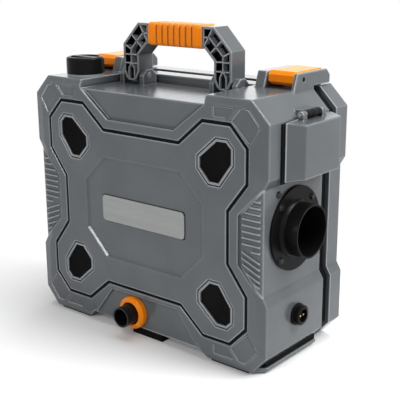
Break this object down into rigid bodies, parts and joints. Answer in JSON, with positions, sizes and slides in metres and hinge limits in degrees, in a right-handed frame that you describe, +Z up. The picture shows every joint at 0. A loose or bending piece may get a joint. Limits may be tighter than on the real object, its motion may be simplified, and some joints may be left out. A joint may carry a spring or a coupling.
{
  "type": "portable parking heater",
  "caption": "Diesel parking heater in a chamfered carry case with fold-down handle, top latches, fuel cap, side controls flap, round hot air outlet and front exhaust stub.",
  "frame": {"origin": "on the floor under the middle of the case, half way through its depth", "axes": "+X to the side with the hot air outlet, +Y to the rear, +Z up"},
  "size_m": [0.375, 0.18, 0.3715],
  "materials": {
    "case_grey": "satin moulded plastic with a fine grain",
    "trim_black": "matt black moulded plastic",
    "orange": "satin orange moulded plastic",
    "rubber": "matt black rubber",
    "screen": "black perforated mesh",
    "plate": "satin silver plate",
    "steel": "bright steel",
    "exhaust_steel": "blackened steel",
    "aluminium": "cast aluminium",
    "brass": "plated brass",
    "tank_plastic": "translucent white plastic",
    "board": "green circuit board",
    "glass": "dark glossy window"
  },
  "bodies": {
    "case": {"air_intake_pipe": "trim_black", "base_feet": "rubber", "blower_motor": "steel", "burner_tube": "steel", "case_seal": "rubber", "control_bezel": "trim_black", "control_board": "board", "control_unit": "trim_black", "cover_hinge_pin": "steel", "cover_seal": "rubber", "display_window": "glass", "exhaust_collar": "orange", "exhaust_pipe": "exhaust_steel", "filler_neck": "case_grey", "front_panel": "case_grey", "front_shell": "case_grey", "fuel_lines": "rubber", "fuel_pump": "steel", "fuel_tank": "tank_plastic", "glow_plug": "steel", "handle_pins": "steel", "heat_exchanger": "aluminium", "heater_shroud_lower": "trim_black", "heater_shroud_upper": "trim_black", "hinge_pins": "steel", "intake_grille": "trim_black", "latch_pins": "trim_black", "nameplate": "plate", "outlet_spigot": "trim_black", "panel_seal": "rubber", "power_socket": "trim_black", "pump_clamp": "rubber", "rub_strips": "rubber", "side_screws": "exhaust_steel", "socket_pins": "brass", "spigot_screws": "exhaust_steel", "vent_frame_lower_left": "case_grey", "vent_frame_lower_right": "case_grey", "vent_frame_upper_left": "case_grey", "vent_frame_upper_right": "case_grey", "vent_screen_lower_left": "screen", "vent_screen_lower_right": "screen", "vent_screen_upper_left": "screen", "vent_screen_upper_right": "screen", "wire_harness": "rubber"},
    "rear_cover": {"rear_cover": "case_grey"},
    "handle": {"handle_frame": "case_grey", "handle_grip": "orange"},
    "latch_left": {"latch_lever_left": "orange"},
    "latch_right": {"latch_lever_right": "orange"},
    "cap_lift": {"cap_gasket": "rubber"},
    "cap": {"fuel_cap": "trim_black"},
    "side_cover": {"side_cover": "case_grey"},
    "rotor": {"motor_shaft": "steel", "fan_wheel": "trim_black", "combustion_fan": "trim_black"},
    "key_power": {"key_power": "orange"},
    "key_up": {"key_up": "trim_black"},
    "key_set": {"key_set": "trim_black"},
    "key_down": {"key_down": "trim_black"}
  },
  "joints": [
    {"name": "rear_cover_hinge", "type": "hinge", "parent": "case", "child": "rear_cover", "pos_m": [0, 0.074, 0.008], "axis": [-1, 0, 0], "range_deg": [0, 90]},
    {"name": "handle_fold", "type": "hinge", "parent": "case", "child": "handle", "pos_m": [0, -0.0055, 0.308], "axis": [1, 0, 0], "range_deg": [0, 90]},
    {"name": "latch_left_pivot", "type": "hinge", "parent": "case", "child": "latch_left", "pos_m": [-0.135, 0.016, 0.3165], "axis": [1, 0, 0], "range_deg": [0, 30]},
    {"name": "latch_right_pivot", "type": "hinge", "parent": "case", "child": "latch_right", "pos_m": [0.135, 0.016, 0.3165], "axis": [1, 0, 0], "range_deg": [0, 30]},
    {"name": "cap_rise", "type": "slide", "parent": "case", "child": "cap_lift", "axis": [0, 0, 1], "range_m": [0, 0.0091]},
    {"name": "cap_turn", "type": "hinge", "parent": "cap_lift", "child": "cap", "pos_m": [-0.12, -0.045, 0.32], "axis": [0, 0, 1], "range_deg": [0, 540]},
    {"name": "side_cover_hinge", "type": "hinge", "parent": "case", "child": "side_cover", "pos_m": [0.184, -0.008, 0.287], "axis": [0, -1, 0], "range_deg": [0, 110]},
    {"name": "rotor_spin", "type": "hinge", "parent": "case", "child": "rotor", "pos_m": [0, -0.018, 0.16], "axis": [1, 0, 0], "continuous": true},
    {"name": "key_power_press", "type": "slide", "parent": "case", "child": "key_power", "axis": [-1, 0, 0], "range_m": [0, 0.0008], "stiffness_N_per_m": 600},
    {"name": "key_up_press", "type": "slide", "parent": "case", "child": "key_up", "axis": [-1, 0, 0], "range_m": [0, 0.0008], "stiffness_N_per_m": 600},
    {"name": "key_set_press", "type": "slide", "parent": "case", "child": "key_set", "axis": [-1, 0, 0], "range_m": [0, 0.0008], "stiffness_N_per_m": 600},
    {"name": "key_down_press", "type": "slide", "parent": "case", "child": "key_down", "axis": [-1, 0, 0], "range_m": [0, 0.0008], "stiffness_N_per_m": 600}
  ],
  "couplings": [
    {"joint": "cap_rise", "follows": "cap_turn", "m_per_rad": 0.00095493}
  ]
}
